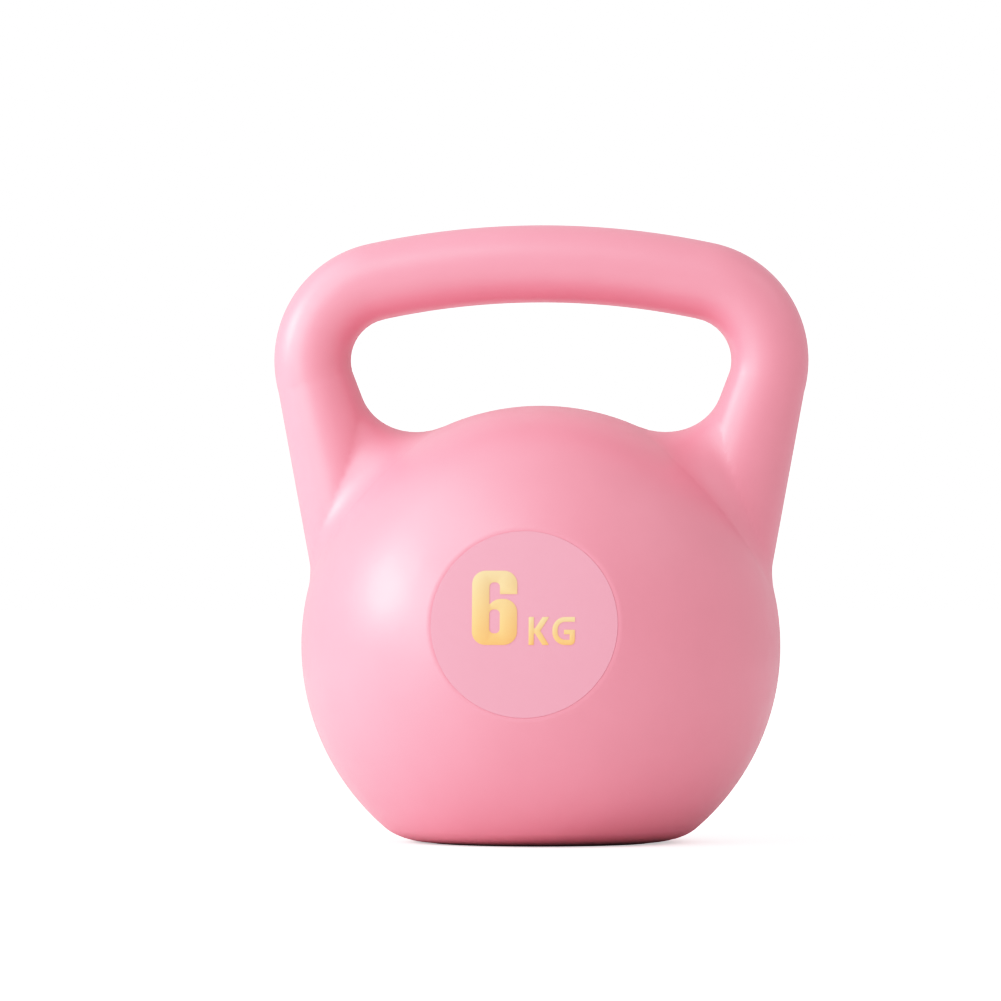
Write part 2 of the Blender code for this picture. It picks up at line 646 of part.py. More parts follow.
def main():
    clear_scene()
    finishes = {name: make_material(name) for name in FINISHES}
    inner_surface = moulded_surface(-WALL, INNER_RATIO)
    make_shell(inner_surface, finishes["pink_shell"])
    make_fill(inner_surface, finishes["fill_mortar"])
    make_handle_tube(finishes["tube_steel"])
    make_tube_caps(finishes["cap_plastic"])
    make_anchor_bar(finishes["tube_steel"])
    make_fill_plug(finishes["plug_plastic"])
    make_plug_gasket(finishes["pad_rubber"])
    make_base_pad(finishes["pad_rubber"])
    make_badge(finishes["badge_film"])
    make_numeral(finishes["gold_foil"])
    make_letter_k(finishes["gold_foil"])
    make_letter_g(finishes["gold_foil"])


main()
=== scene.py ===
"""Looks of the kettlebell: its moulded skin at full fineness, the badge, the foil marks and the foot."""
import math

import bmesh
import bpy
import numpy as np
from mathutils import Matrix, Vector


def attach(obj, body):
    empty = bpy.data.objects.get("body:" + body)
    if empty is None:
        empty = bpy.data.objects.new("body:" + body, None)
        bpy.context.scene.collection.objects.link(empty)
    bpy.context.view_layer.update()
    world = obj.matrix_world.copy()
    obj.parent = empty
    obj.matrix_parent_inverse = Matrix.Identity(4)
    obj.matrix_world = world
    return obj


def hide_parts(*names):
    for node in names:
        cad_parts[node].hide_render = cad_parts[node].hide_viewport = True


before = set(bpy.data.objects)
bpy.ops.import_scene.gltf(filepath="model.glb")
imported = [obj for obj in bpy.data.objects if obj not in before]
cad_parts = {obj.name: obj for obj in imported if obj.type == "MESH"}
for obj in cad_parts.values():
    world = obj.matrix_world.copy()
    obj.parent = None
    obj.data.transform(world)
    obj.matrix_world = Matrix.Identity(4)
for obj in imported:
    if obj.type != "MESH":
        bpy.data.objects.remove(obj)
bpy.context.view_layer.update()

GAP = 0.0003                            # clearance between pieces that touch
OVERSHOOT = 0.02                        # how far a cutter runs past what it cuts

# Outer form: a ball with a flat foot, and a handle loop that melts into its shoulders
BALL_RADIUS = 0.1074
BALL_Z = 0.0881
FOOT_Z = 0.0004
FOOT_ROUNDING = 0.0058
HANDLE_RADIUS = 0.0172
BAR_TOP_Z = 0.2592
BAR_ARC_RADIUS = 0.355
CORNER_X = 0.0666
CORNER_RADIUS = 0.0362
LEG_LEAN = math.radians(15.7)
LEG_TAPER = 0.093
LEG_LENGTH = 0.106
SHOULDER_FILLET = 0.0090
SHOULDER_GROWTH = 1.18
SHOULDER_POWER = 1.80

# The bar's arch and the bends meet without a kink, which settles the rest of the centreline
BEND_REACH = BAR_ARC_RADIUS - CORNER_RADIUS
BAR_ARC_Z = BAR_TOP_Z - BAR_ARC_RADIUS
BAR_HALF_ANGLE = math.asin(CORNER_X / BEND_REACH)
CORNER_Z = BAR_ARC_Z + BEND_REACH * math.cos(BAR_HALF_ANGLE)

# Wall, the flat landings on the front and the back, and the pocket that holds the badge
WALL = 0.0030
FLOOR_WALL = 0.0060
LANDING_TILT = math.radians(6.3)
LANDING_DISTANCE = 0.0987
LANDING_RADIUS = math.sqrt(BALL_RADIUS ** 2 - LANDING_DISTANCE ** 2)
LANDING_ROUNDING = 0.0004
POCKET_DEPTH = 0.0012
BADGE_RADIUS = 0.0408
BADGE_FIT = 0.00027                     # how much of its clearance the badge fills when pressed in
BADGE_PROUD = 0.0002                    # how far the badge's face stands above the landing
BADGE_EDGE = 0.00015                    # rounding of the badge's rim
FOIL_THICKNESS = 0.00012
FOIL_BEVEL = 0.00003

# Foot: recess for the pad, and the seat and hole of the fill plug
PAD_INNER = 0.0280
PAD_OUTER = 0.0500
PAD_THICKNESS = 0.0018
SEAT_RADIUS = 0.0243
SEAT_Z = 0.0037
HOLE_RADIUS = 0.0180
COLLAR_RADIUS = 0.0220
COLLAR_TOP_Z = 0.0131
PLUG_FACE_Z = 0.0008
PLUG_FLANGE = 0.0016
PLUG_TOP_Z = 0.0111
PLUG_WALL = 0.0032
PLUG_FLOOR_Z = 0.0046
PLUG_BARB = 0.0015
SLOT_SIZE = (0.026, 0.003, 0.0008)      # coin slot in the plug's face: length, width, depth
GROOVE_RADII = (0.0340, 0.0432)
GROOVE_WIDTH = 0.0016
GROOVE_DEPTH = 0.0008
RUBBER_EDGE = 0.0005                    # rounding of the pad's and the plug's edges

# Parting line of the mould: a fine bead round the outside and round the hand window
BEAD_RADIUS = 0.00035
BEAD_SUNK = 0.0002
BODY_MIDDLE_Z = 0.150                   # a height inside the solid, seen from all of its outside
WINDOW_MIDDLE_Z = 0.218
BEAD_REACH = 0.30
OUTER_BEAD_SWEEP = math.radians(158)    # stops each side just above the foot
OUTER_BEAD_STEPS = 360
WINDOW_BEAD_STEPS = 240
BEAD_SIDES = 8
BEAD_SAMPLES = 601                      # places tried along each ray for the form's surface
BEAD_ACCURACY = 1e-5

# Weight marking, in the badge's own plane: the baseline and each left edge are measured from
# the badge's centre, and every height from the baseline
MARK_BASELINE = -0.0090
NUMERAL_LEFT = -0.0229
NUMERAL_WIDTH = 0.0198
NUMERAL_HEIGHT = 0.0326
NUMERAL_STEM = 0.0076
NUMERAL_ARCH = 0.0051                   # thickness of the 6 at its top and its foot
NUMERAL_BEND = 0.0059                   # radius of its outer corners
HOOK_END = 0.0223
BOWL_TOP = 0.0202
BOWL_ARCH = 0.0066                      # radius of the curve along the bowl's top
BOWL_JOIN = 0.0176                      # where the bowl's top meets the stem
SLOT_TOP = 0.0156
SLOT_BEND = 0.0020
UNIT_HEIGHT = 0.0123
UNIT_STROKE = 0.0023
K_LEFT = 0.0020
K_WIDTH = 0.0090
K_ARM = 0.0029                          # width of an arm at its end
K_CROTCH = 0.0028                       # from the stem to the notch between the arms
K_KNEE = 0.0005                         # length of the bridge from the stem to the arms
K_BRIDGE = 0.0011                       # half its height
G_LEFT = 0.0124
G_WIDTH = 0.0099
G_BEND = 0.0057
G_HEEL = 0.0020                         # radius of the lower right corner
G_BAR_LENGTH = 0.0048
G_BAR_TOP = 0.0067
G_BAR_THICKNESS = 0.0020
G_LIP = 0.0021                          # thickness of the top stroke's end
STROKE_END = 0.0002                     # rounding of the marks' sharp corners

# Fineness of the skin's mesh
SKIN_VOXEL = 0.0021
LINING_VOXEL = 0.0032
SNAP_STEPS = 8
SNAP_LIMIT = 0.003
LEAST_STEEPNESS = 0.05                  # keeps a step finite where the field is flat
PROBE = 0.00005
RIM_BANDS = (0.0034, 0.0022)            # zones round each landing's rim that are subdivided in turn
ON_FORM = 0.00002                       # how near the form a corner must be to take its normal
FOLLOW_COSINE = 0.85                    # how closely its face must agree with that normal
LEAST_LENGTH = 1e-9                     # keeps a division by a length finite

# Fineness of the turned, swept and drawn pieces
SHARP_ANGLE = math.radians(35)          # an edge sharper than this is shaded as an edge
BEVEL_ANGLE = math.radians(60)
BEVEL_SEGMENTS = 2
TURNED_SEGMENTS = 128
PAD_SEGMENTS = 192
ARC_STEPS = 6
GROOVE_STEPS = 3
MARK_CORNER_STEPS = 12
BAR_STEPS = 8
BEND_STEPS = 14
SWEPT_SIDES = 24
SEED_SUBDIVISIONS = 5
AXIS_MERGE = 1e-6                       # joins what a turned profile leaves double
SEAM_MERGE = 1e-7                       # joins what a swept route leaves double

# Colours, as linear values, and finishes
SKIN_COLOUR = (0.800, 0.352, 0.422)
SKIN_ROUGHNESS = 0.38
SKIN_SPECULAR = 0.75
PLUG_SHADE = 0.93                       # the plug's colour, as a share of the skin's
PLUG_ROUGHNESS = 0.50
CAP_COLOUR = (0.042, 0.042, 0.045)
CAP_ROUGHNESS = 0.55
GASKET_COLOUR = (0.035, 0.032, 0.033)
PAD_COLOUR = (0.061, 0.025, 0.032)
FILM_COLOUR = (0.745, 0.390, 0.460)
FILM_ROUGHNESS = 0.60
FOIL_TOP = (0.810, 0.620, 0.390)
FOIL_MIDDLE = (0.845, 0.575, 0.320)
FOIL_FOOT = (0.880, 0.520, 0.250)
FOIL_METALLIC = 0.08
PLAIN_SPECULAR = 0.5
NOISE_RANGE = (0.32, 0.68)              # where most of a noise's values lie

# Camera, floor and light
CAMERA_AZIMUTH = 4.5
CAMERA_DISTANCE = 3.8
CAMERA_Z = 0.1531
CAMERA_LEFT = 0.01803
CAMERA_LENS = 304.8
SENSOR_WIDTH = 36.0
CAMERA_REACH = 50.0
FLOOR_RADIUS = 8.0
FLOOR_SEGMENTS = 96
FLOOR_DROP = 0.00002                    # keeps the paper out of the pad's own plane
FLOOR_COLOUR = (0.92, 0.92, 0.92)
FLOOR_GLOW = 0.45
SURROUND = 0.65
SOFTBOX_DISTANCE = 2.0
LIGHT_TARGET_Z = 0.13                   # the height that the softboxes face
SOFTBOXES = (                           # name, azimuth, elevation, diameter, watts
    ("key_core", -78, 20, 0.5, 4.1),
    ("key", -78, 20, 0.8, 4.5),
    ("key_wide", -78, 20, 1.2, 5.6),
    ("front_left", -45, 12, 1.2, 6.8),
    ("high_left", -80, 50, 1.2, 3.4),
    ("high_front", -30, 45, 1.2, 4.8),
    ("high_right", 80, 45, 1.2, 1.4),
)
RESPONSE_TOE = 1.7
RESPONSE_SHOULDER = 2.2
RESPONSE_STEPS = 10
COMBINED_CURVE = 3                      # the view's curve for all three channels at once


# ---------------------------------------------------------------- mesh helpers

def add_piece(name, mesh, finish, matrix=None):
    obj = bpy.data.objects.new(name, mesh)
    bpy.context.scene.collection.objects.link(obj)
    mesh.materials.clear()
    mesh.materials.append(finish)
    if matrix is not None:
        obj.matrix_world = matrix
    return obj


def evaluated_mesh(obj):
    graph = bpy.context.evaluated_depsgraph_get()
    return bpy.data.meshes.new_from_object(obj.evaluated_get(graph))


def finish_bmesh(bm, name):
    bmesh.ops.recalc_face_normals(bm, faces=bm.faces)
    mesh = bpy.data.meshes.new(name)
    bm.to_mesh(mesh)
    bm.free()
    return mesh


def smooth(mesh):
    mesh.shade_smooth()
    mesh.set_sharp_from_angle(angle=SHARP_ANGLE)


def with_modifier(mesh, kind, **settings):
    """The mesh that a modifier makes of another mesh."""
    holder = bpy.data.objects.new(kind.lower(), mesh)
    bpy.context.scene.collection.objects.link(holder)
    modifier = holder.modifiers.new(kind.lower(), kind)
    for setting, value in settings.items():
        setattr(modifier, setting, value)
    made = evaluated_mesh(holder)
    bpy.data.objects.remove(holder, do_unlink=True)
    return made


def cut_mesh(mesh, cutter):
    """A mesh less another mesh."""
    tool = bpy.data.objects.new("cutter", cutter)
    bpy.context.scene.collection.objects.link(tool)
    made = with_modifier(mesh, "BOOLEAN", operation="DIFFERENCE", solver="EXACT", object=tool)
    bpy.data.objects.remove(tool, do_unlink=True)
    return made


def joined(meshes, name):
    bm = bmesh.new()
    for mesh in meshes:
        bm.from_mesh(mesh)
    mesh = bpy.data.meshes.new(name)
    bm.to_mesh(mesh)
    bm.free()
    return mesh


def arc(centre_r, centre_z, radius, start, end, steps=ARC_STEPS):
    """Points (radius, height) along an arc of a turned profile; angles run from +r towards +z."""
    return [(centre_r + radius * math.cos(math.radians(start + (end - start) * step / steps)),
             centre_z + radius * math.sin(math.radians(start + (end - start) * step / steps)))
            for step in range(steps + 1)]


def turned(name, profile, segments=TURNED_SEGMENTS):
    """Solid turned about Z from (radius, height) points, closed on itself or on the axis."""
    bm = bmesh.new()
    corners = [bm.verts.new((radius, 0.0, height)) for radius, height in profile]
    edges = [bm.edges.new(pair) for pair in zip(corners, corners[1:])]
    if profile[0][0] > 0.0:
        edges.append(bm.edges.new((corners[-1], corners[0])))
    bmesh.ops.spin(bm, geom=corners + edges, cent=(0, 0, 0), axis=(0, 0, 1),
                   angle=math.tau, steps=segments)
    bmesh.ops.remove_doubles(bm, verts=bm.verts, dist=AXIS_MERGE)
    mesh = finish_bmesh(bm, name)
    smooth(mesh)
    return mesh


def block(name, low, high):
    bm = bmesh.new()
    bmesh.ops.create_cube(bm, size=1.0)
    bmesh.ops.scale(bm, vec=Vector(high) - Vector(low), verts=bm.verts)
    bmesh.ops.translate(bm, vec=(Vector(high) + Vector(low)) / 2, verts=bm.verts)
    return finish_bmesh(bm, name)


def landing_frame(distance, side):
    """Frame of a flat landing: local +Z points out of the ball, local +Y up the face."""
    up = Vector((0.0, -side * math.sin(LANDING_TILT), math.cos(LANDING_TILT)))
    out = Vector((0.0, side * math.cos(LANDING_TILT), math.sin(LANDING_TILT)))
    placed = Matrix((up.cross(out), up, out)).transposed().to_4x4()
    placed.translation = Vector((0.0, 0.0, BALL_Z)) + out * distance
    return placed


# ---------------------------------------------------------------- the moulded form as a field

def rounded_corner(first, second, rounding):
    """Field of the solid that two fields share, with the edge between them rounded."""
    corner = np.hypot(np.maximum(first + rounding, 0.0), np.maximum(second + rounding, 0.0))
    return np.minimum(-rounding, np.maximum(first, second)) + corner


def arc_offset(x, z, centre_x, centre_z, radius, start, end):
    """Offset of a point from the nearest point of an arc; angles run from +Z towards +X."""
    angle = np.clip(np.arctan2(x - centre_x, z - centre_z), start, end)
    return x - centre_x - radius * np.sin(angle), z - centre_z - radius * np.cos(angle)


def leg_top():
    """Where the bend ends and the straight leg begins, on the +X side."""
    return (CORNER_X + CORNER_RADIUS * math.cos(LEG_LEAN),
            CORNER_Z - CORNER_RADIUS * math.sin(LEG_LEAN))


def leg_offset(x, z):
    """Offset of a point from a leg's centreline, and how far down the leg it is."""
    top_x, top_z = leg_top()
    down_x, down_z = -math.sin(LEG_LEAN), -math.cos(LEG_LEAN)
    along = np.clip((x - top_x) * down_x + (z - top_z) * down_z, 0.0, LEG_LENGTH)
    return x - top_x - along * down_x, z - top_z - along * down_z, along


def form_field(points):
    """Signed distance, near enough, to the moulded outer form; negative is inside."""
    x, y, z = np.abs(points[:, 0]), points[:, 1], points[:, 2]
    ball = np.sqrt(x ** 2 + y ** 2 + (z - BALL_Z) ** 2) - BALL_RADIUS

    bar_x, bar_z = arc_offset(x, z, 0.0, BAR_ARC_Z, BAR_ARC_RADIUS, 0.0, BAR_HALF_ANGLE)
    corner_x, corner_z = arc_offset(x, z, CORNER_X, CORNER_Z, CORNER_RADIUS,
                                    BAR_HALF_ANGLE, math.pi / 2 + LEG_LEAN)
    leg_x, leg_z, along = leg_offset(x, z)
    leg_reach = np.sqrt(leg_x ** 2 + y ** 2 + leg_z ** 2)
    handle = np.minimum.reduce([
        np.sqrt(bar_x ** 2 + y ** 2 + bar_z ** 2) - HANDLE_RADIUS,
        np.sqrt(corner_x ** 2 + y ** 2 + corner_z ** 2) - HANDLE_RADIUS,
        leg_reach - HANDLE_RADIUS - LEG_TAPER * along])

    inward = (-leg_x * math.cos(LEG_LEAN) + leg_z * math.sin(LEG_LEAN)) / np.maximum(leg_reach, PROBE)
    fillet = SHOULDER_FILLET * np.exp(SHOULDER_GROWTH * inward)
    near_ball = np.maximum(fillet - ball, 0.0)
    near_handle = np.maximum(fillet - handle, 0.0)
    blend = (near_ball ** SHOULDER_POWER + near_handle ** SHOULDER_POWER) ** (1 / SHOULDER_POWER)
    body = np.maximum(fillet, np.minimum(ball, handle)) - blend
    body = rounded_corner(body, FOOT_Z - z, FOOT_ROUNDING)

    lift = (z - BALL_Z) * math.sin(LANDING_TILT)
    landing = np.abs(y) * math.cos(LANDING_TILT) + lift - LANDING_DISTANCE
    return rounded_corner(body, landing, LANDING_ROUNDING)


def form_gradient(points):
    slopes = [(form_field(points + step) - form_field(points - step)) / (2 * PROBE)
              for step in np.eye(3) * PROBE]
    return np.stack(slopes, axis=1)


def snap_mesh(mesh, level=0.0):
    """Move a mesh's corners onto the surface where the field has the given level."""
    points = np.empty(len(mesh.vertices) * 3)
    mesh.vertices.foreach_get("co", points)
    points = points.reshape(-1, 3)
    for _ in range(SNAP_STEPS):
        gradient = form_gradient(points)
        steepness = np.maximum((gradient ** 2).sum(axis=1), LEAST_STEEPNESS)
        move = gradient * ((form_field(points) - level) / steepness)[:, None]
        reach = np.maximum(np.linalg.norm(move, axis=1), PROBE)
        points = points - move * np.minimum(1.0, SNAP_LIMIT / reach)[:, None]
    mesh.vertices.foreach_set("co", points.ravel())
    mesh.update()
    return mesh


def handle_route(end_z):
    """Points along the handle's centreline, from the left leg's end to the right leg's."""
    right = []
    for step in range(BAR_STEPS + 1):
        angle = BAR_HALF_ANGLE * step / BAR_STEPS
        right.append((BAR_ARC_RADIUS * math.sin(angle), BAR_ARC_Z + BAR_ARC_RADIUS * math.cos(angle)))
    turn = math.pi / 2 + LEG_LEAN - BAR_HALF_ANGLE
    for step in range(1, BEND_STEPS + 1):
        angle = BAR_HALF_ANGLE + turn * step / BEND_STEPS
        right.append((CORNER_X + CORNER_RADIUS * math.sin(angle),
                      CORNER_Z + CORNER_RADIUS * math.cos(angle)))
    top_x, top_z = leg_top()
    right.append((top_x - (top_z - end_z) * math.tan(LEG_LEAN), end_z))
    left = [(-x, z) for x, z in reversed(right[1:])]
    return [Vector((x, 0.0, z)) for x, z in left + right]


def swept(name, route, radius, closed=False, sides=SWEPT_SIDES):
    """Round bar or bead along a route."""
    curve = bpy.data.curves.new(name, "CURVE")
    curve.dimensions = "3D"
    curve.bevel_depth = radius
    curve.bevel_resolution = sides // 2 - 2
    curve.use_fill_caps = not closed
    spline = curve.splines.new("POLY")
    spline.points.add(len(route) - 1)
    spline.use_cyclic_u = closed
    for point, place in zip(spline.points, route):
        point.co = (*place, 1.0)
    holder = bpy.data.objects.new(name, curve)
    bpy.context.scene.collection.objects.link(holder)
    mesh = evaluated_mesh(holder)
    bpy.data.objects.remove(holder, do_unlink=True)
    bm = bmesh.new()
    bm.from_mesh(mesh)
    bmesh.ops.remove_doubles(bm, verts=bm.verts, dist=SEAM_MERGE)
    return finish_bmesh(bm, name)


def form_surface(level, voxel):
    """The ball and the handle grown together, with every corner of the mesh on the form."""
    bm = bmesh.new()
    bmesh.ops.create_icosphere(bm, subdivisions=SEED_SUBDIVISIONS, radius=BALL_RADIUS,
                               matrix=Matrix.Translation((0, 0, BALL_Z)))
    bm.from_mesh(swept("handle_seed", handle_route(BALL_Z), HANDLE_RADIUS))
    rough = with_modifier(finish_bmesh(bm, "seed"), "REMESH", mode="VOXEL", voxel_size=2 * voxel)
    snap_mesh(rough, level)
    fine = with_modifier(rough, "REMESH", mode="VOXEL", voxel_size=voxel)
    return snap_mesh(fine, level)


def refine_rims(mesh):
    """Split the faces round each landing's rim, so that its small rounding is really there."""
    for band in RIM_BANDS:
        bm = bmesh.new()
        bm.from_mesh(mesh)
        near = []
        for side in (-1, 1):
            inverse = landing_frame(LANDING_DISTANCE, side).inverted()
            for edge in bm.edges:
                middle = inverse @ ((edge.verts[0].co + edge.verts[1].co) / 2)
                if abs(middle.z) < band and abs(math.hypot(middle.x, middle.y) - LANDING_RADIUS) < band:
                    near.append(edge)
        bmesh.ops.subdivide_edges(bm, edges=near, cuts=1, use_grid_fill=True)
        bmesh.ops.triangulate(bm, faces=[face for face in bm.faces if len(face.verts) > 4])
        mesh = finish_bmesh(bm, "refined")
        snap_mesh(mesh)
    return mesh


# ---------------------------------------------------------------- the skin

def skin_cutters():
    """Everything that is taken out of the solid form: inside, pocket, pad recess and fill hole."""
    size = 2 * BALL_RADIUS
    lining = form_surface(-WALL, LINING_VOXEL)
    lining = cut_mesh(lining, block("floor", (-size, -size, -size), (size, size, FOOT_Z + FLOOR_WALL)))
    for side in (-1, 1):
        slab = turned("slab", [(0.0, 0.0), (BALL_RADIUS, 0.0), (BALL_RADIUS, OVERSHOOT), (0.0, OVERSHOOT)])
        slab.transform(landing_frame(LANDING_DISTANCE - POCKET_DEPTH - WALL, side))
        lining = cut_mesh(lining, slab)
    collar = turned("collar", [(0.0, -OVERSHOOT), (COLLAR_RADIUS, -OVERSHOOT),
                               (COLLAR_RADIUS, COLLAR_TOP_Z), (0.0, COLLAR_TOP_Z)])
    lining = cut_mesh(lining, collar)

    reach = BADGE_RADIUS + GAP
    pocket = turned("pocket", [(0.0, -POCKET_DEPTH), (reach, -POCKET_DEPTH), (reach, OVERSHOOT),
                               (0.0, OVERSHOOT)])
    pocket.transform(landing_frame(LANDING_DISTANCE, -1))
    recess = turned("recess", [(PAD_INNER - GAP, -OVERSHOOT), (PAD_OUTER + GAP, -OVERSHOOT),
                               (PAD_OUTER + GAP, PAD_THICKNESS + GAP),
                               (PAD_INNER - GAP, PAD_THICKNESS + GAP)])
    opening = turned("opening", [(0.0, -OVERSHOOT), (SEAT_RADIUS, -OVERSHOOT), (SEAT_RADIUS, SEAT_Z),
                                 (HOLE_RADIUS, SEAT_Z), (HOLE_RADIUS, COLLAR_TOP_Z + OVERSHOOT),
                                 (0.0, COLLAR_TOP_Z + OVERSHOOT)])
    return [lining, pocket, recess, opening]


def set_form_normals(mesh):
    """Shade what lies on the form with the form's own normals, and every cut face flat."""
    count = len(mesh.vertices)
    points = np.empty(count * 3)
    mesh.vertices.foreach_get("co", points)
    points = points.reshape(-1, 3)
    on_form = np.abs(form_field(points)) < ON_FORM
    normals = form_gradient(points)
    normals /= np.maximum(np.linalg.norm(normals, axis=1), LEAST_LENGTH)[:, None]

    faces = np.empty(len(mesh.polygons) * 3)
    mesh.polygons.foreach_get("normal", faces)
    faces = faces.reshape(-1, 3)
    totals = np.empty(len(mesh.polygons), int)
    mesh.polygons.foreach_get("loop_total", totals)
    corners = np.empty(len(mesh.loops), int)
    mesh.loops.foreach_get("vertex_index", corners)
    flat = np.repeat(faces, totals, axis=0)
    wanted = normals[corners]
    follows = on_form[corners] & ((wanted * flat).sum(axis=1) > FOLLOW_COSINE)
    mesh.shade_smooth()
    mesh.normals_split_custom_set(np.where(follows[:, None], wanted, flat).tolist())


def make_skin(finish):
    mesh = refine_rims(form_surface(0.0, SKIN_VOXEL))
    for cutter in skin_cutters():
        mesh = cut_mesh(mesh, cutter)
    set_form_normals(mesh)
    skin = add_piece("shell_skin", mesh, finish)
    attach(skin, "root")
    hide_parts("shell")


# ---------------------------------------------------------------- parting line

def first_inside(start, direction, distances):
    """Distance at which a ray first enters the form, to a hundredth of a millimetre."""
    points = start + np.outer(distances, direction)
    entry = int(np.argmax(form_field(points) < 0.0))
    out, inside = distances[entry - 1], distances[entry]
    while abs(inside - out) > BEAD_ACCURACY:
        middle = (out + inside) / 2
        if form_field((start + middle * direction)[None, :])[0] < 0.0:
            inside = middle
        else:
            out = middle
    return inside


def bead_route(centre_z, angles, from_outside):
    """Points just under the form's surface in its middle plane, seen from a height on its axis."""
    start = np.array((0.0, 0.0, centre_z))
    distances = np.linspace(0.0, BEAD_REACH, BEAD_SAMPLES)
    if from_outside:
        distances = distances[::-1]
    route = []
    for angle in angles:
        direction = np.array((math.sin(angle), 0.0, math.cos(angle)))
        point = start + first_inside(start, direction, distances) * direction
        slope = form_gradient(point[None, :])[0]
        route.append(Vector(point - slope / np.linalg.norm(slope) * BEAD_SUNK))
    return route


def make_parting_line(finish):
    sweep = np.linspace(-OUTER_BEAD_SWEEP, OUTER_BEAD_SWEEP, OUTER_BEAD_STEPS)
    outer = bead_route(BODY_MIDDLE_Z, sweep, True)
    turn = np.linspace(0.0, math.tau, WINDOW_BEAD_STEPS, endpoint=False)
    window = bead_route(WINDOW_MIDDLE_Z, turn, False)
    mesh = joined([swept("outer_bead", outer, BEAD_RADIUS, sides=BEAD_SIDES),
                   swept("window_bead", window, BEAD_RADIUS, closed=True, sides=BEAD_SIDES)],
                  "parting_line")
    smooth(mesh)
    bead = add_piece("parting_line", mesh, finish)
    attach(bead, "root")


# ---------------------------------------------------------------- badge and weight marking

def make_badge(finish):
    """Disc pressed into its pocket, with a rounded rim and a face just proud of the landing."""
    reach = BADGE_RADIUS + BADGE_FIT
    low = GAP - POCKET_DEPTH
    edge = reach - BADGE_EDGE
    profile = [(0.0, low), (reach, low)]
    profile += arc(edge, BADGE_PROUD - BADGE_EDGE, BADGE_EDGE, 0, 90) + [(0.0, BADGE_PROUD)]
    mesh = turned("badge_disc", profile)
    mesh.transform(landing_frame(LANDING_DISTANCE, -1))
    disc = add_piece("badge_disc", mesh, finish)
    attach(disc, "root")
    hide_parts("weight_badge")


def rounded_outline(corners, steps=MARK_CORNER_STEPS):
    """Outline through (x, y, radius) corners, with each corner turned as an arc."""
    outline = []
    count = len(corners)
    for index, (x, y, radius) in enumerate(corners):
        corner = Vector((x, y))
        before = (Vector(corners[index - 1][:2]) - corner).normalized()
        after = (Vector(corners[(index + 1) % count][:2]) - corner).normalized()
        half = before.angle(after) / 2
        radius = max(radius, STROKE_END)
        centre = corner + (before + after).normalized() * (radius / math.sin(half))
        start = corner + before * (radius / math.tan(half)) - centre
        end = corner + after * (radius / math.tan(half)) - centre
        turn = start.angle_signed(end)
        for step in range(steps + 1):
            outline.append(centre + Matrix.Rotation(-turn * step / steps, 2) @ start)
    return outline


def make_foil(name, node, outlines, finish):
    """Thin foil mark on the badge: a filled outline, less any inner outline, with a soft edge."""
    bm = bmesh.new()
    edges = []
    for outline in outlines:
        corners = [bm.verts.new((point.x, point.y, 0.0)) for point in outline]
        edges += [bm.edges.new((corners[i - 1], corners[i])) for i in range(len(corners))]
    bmesh.ops.triangle_fill(bm, use_beauty=True, edges=edges)
    raised = bmesh.ops.extrude_face_region(bm, geom=list(bm.faces), use_keep_orig=True)
    moved = [item for item in raised["geom"] if isinstance(item, bmesh.types.BMVert)]
    bmesh.ops.translate(bm, vec=(0, 0, FOIL_THICKNESS), verts=moved)
    mesh = with_modifier(finish_bmesh(bm, name), "BEVEL", width=FOIL_BEVEL,
                         segments=BEVEL_SEGMENTS, limit_method="ANGLE", angle_limit=BEVEL_ANGLE)
    smooth(mesh)
    mesh.transform(landing_frame(LANDING_DISTANCE + BADGE_PROUD, -1))
    foil = add_piece(name, mesh, finish)
    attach(foil, "root")
    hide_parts(node)


def make_numeral(finish):
    left, right = NUMERAL_LEFT, NUMERAL_LEFT + NUMERAL_WIDTH
    low, high = MARK_BASELINE, MARK_BASELINE + NUMERAL_HEIGHT
    inner_left, inner_right = left + NUMERAL_STEM, right - NUMERAL_STEM
    inner_low, inner_high = low + NUMERAL_ARCH, high - NUMERAL_ARCH
    half_counter = (inner_right - inner_left) / 2
    hook, bowl, join, slot_top = low + HOOK_END, low + BOWL_TOP, low + BOWL_JOIN, low + SLOT_TOP
    outer = [(right, hook, 0.0), (right, high, NUMERAL_BEND), (left, high, NUMERAL_BEND),
             (left, low, NUMERAL_BEND), (right, low, NUMERAL_BEND), (right, bowl, NUMERAL_BEND),
             (inner_left + half_counter, bowl, BOWL_ARCH), (inner_left, join, 0.0),
             (inner_left, inner_high, SLOT_BEND), (inner_right, inner_high, SLOT_BEND),
             (inner_right, hook, 0.0)]
    slot = [(inner_left, inner_low, SLOT_BEND), (inner_right, inner_low, SLOT_BEND),
            (inner_right, slot_top, SLOT_BEND), (inner_left, slot_top, SLOT_BEND)]
    make_foil("foil_numeral", "numeral_6", [rounded_outline(outer), rounded_outline(slot)], finish)


def make_letter_k(finish):
    left, right = K_LEFT, K_LEFT + K_WIDTH
    low, high = MARK_BASELINE, MARK_BASELINE + UNIT_HEIGHT
    stem = left + UNIT_STROKE
    middle = (low + high) / 2
    lower_half = [(left, low), (stem, low), (stem, middle - K_BRIDGE),
                  (stem + K_KNEE, middle - K_BRIDGE), (right - K_ARM, low), (right, low)]
    upper_half = [(x, low + high - y) for x, y in reversed(lower_half)]
    outline = lower_half + [(stem + K_CROTCH, middle)] + upper_half
    make_foil("foil_k", "letter_k", [rounded_outline([(x, y, 0.0) for x, y in outline])], finish)


